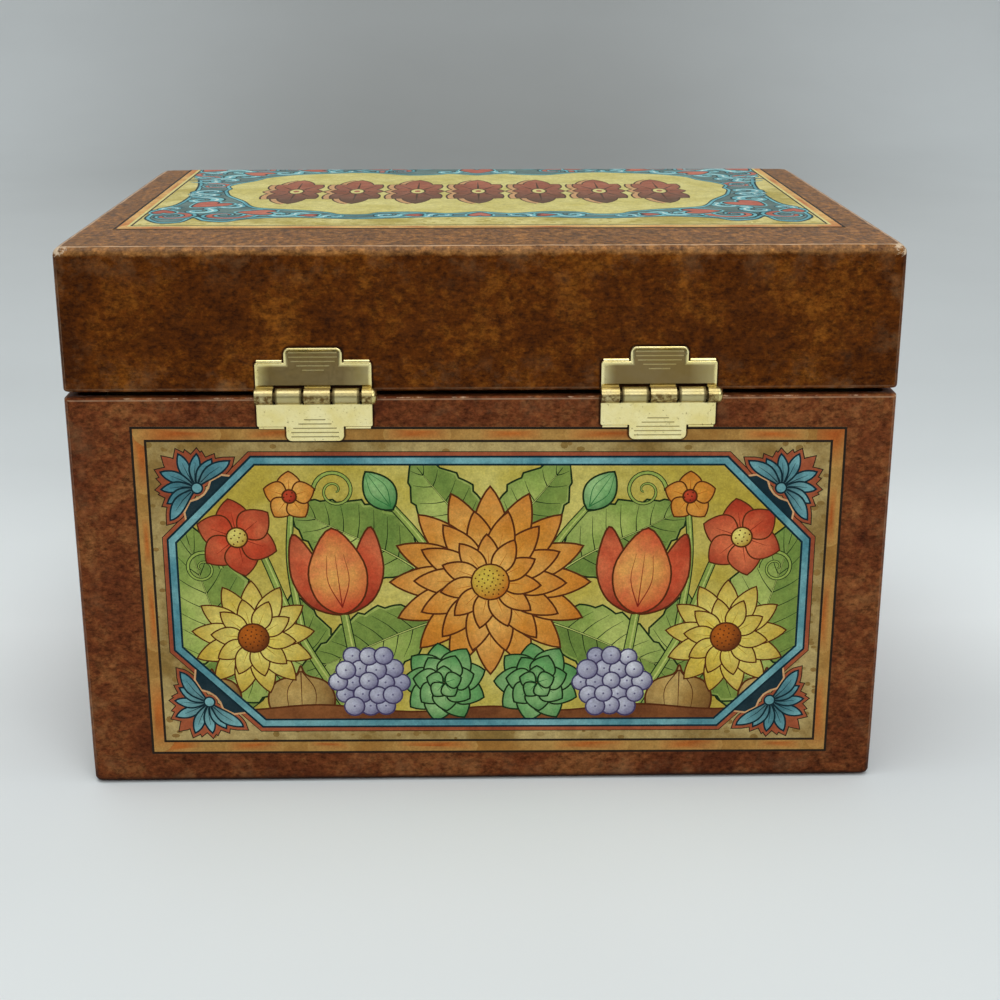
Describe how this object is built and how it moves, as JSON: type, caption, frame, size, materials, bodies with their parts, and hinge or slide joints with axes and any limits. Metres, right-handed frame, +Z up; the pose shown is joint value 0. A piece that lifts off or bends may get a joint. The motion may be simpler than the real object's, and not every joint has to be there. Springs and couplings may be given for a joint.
{
  "type": "hinged index card box",
  "caption": "Paper-covered board box for 5 x 3 in index cards, with a full-depth lid on two stamped brass hinges at the back.",
  "frame": {"origin": "centre of the base's underside, on the surface that the box stands on", "axes": "+Z up; +Y towards the back, where the hinges are; +X along the box's length, to the left for someone who looks at its back"},
  "size_m": [0.14, 0.1093, 0.0965],
  "materials": {
    "board": "grey-brown chipboard",
    "stay_paper": "gummed kraft paper",
    "cover_paper": "printed mottled brown leather pattern with framed panels, satin",
    "lining_paper": "plain buff paper, matte",
    "underside_paper": "plain dark brown paper, matte",
    "hinge_brass": "bright brass plate, lightly pitted"
  },
  "bodies": {
    "base": {"base_board": "board", "base_corner_stays": "stay_paper", "base_cover": "cover_paper", "base_wall_lining": "lining_paper", "base_floor_lining": "lining_paper", "base_underside_sheet": "underside_paper", "left_hinge_base_leaf": "hinge_brass", "right_hinge_base_leaf": "hinge_brass"},
    "lid": {"lid_board": "board", "lid_corner_stays": "stay_paper", "lid_cover": "cover_paper", "lid_wall_lining": "lining_paper", "lid_top_lining": "lining_paper", "left_hinge_lid_leaf": "hinge_brass", "right_hinge_lid_leaf": "hinge_brass", "left_hinge_pin": "hinge_brass", "right_hinge_pin": "hinge_brass"}
  },
  "joints": [
    {"name": "lid_hinge", "type": "hinge", "parent": "base", "child": "lid", "pos_m": [0, 0.05465, 0.0718], "axis": [-1, 0, 0], "range_deg": [0, 180]}
  ]
}
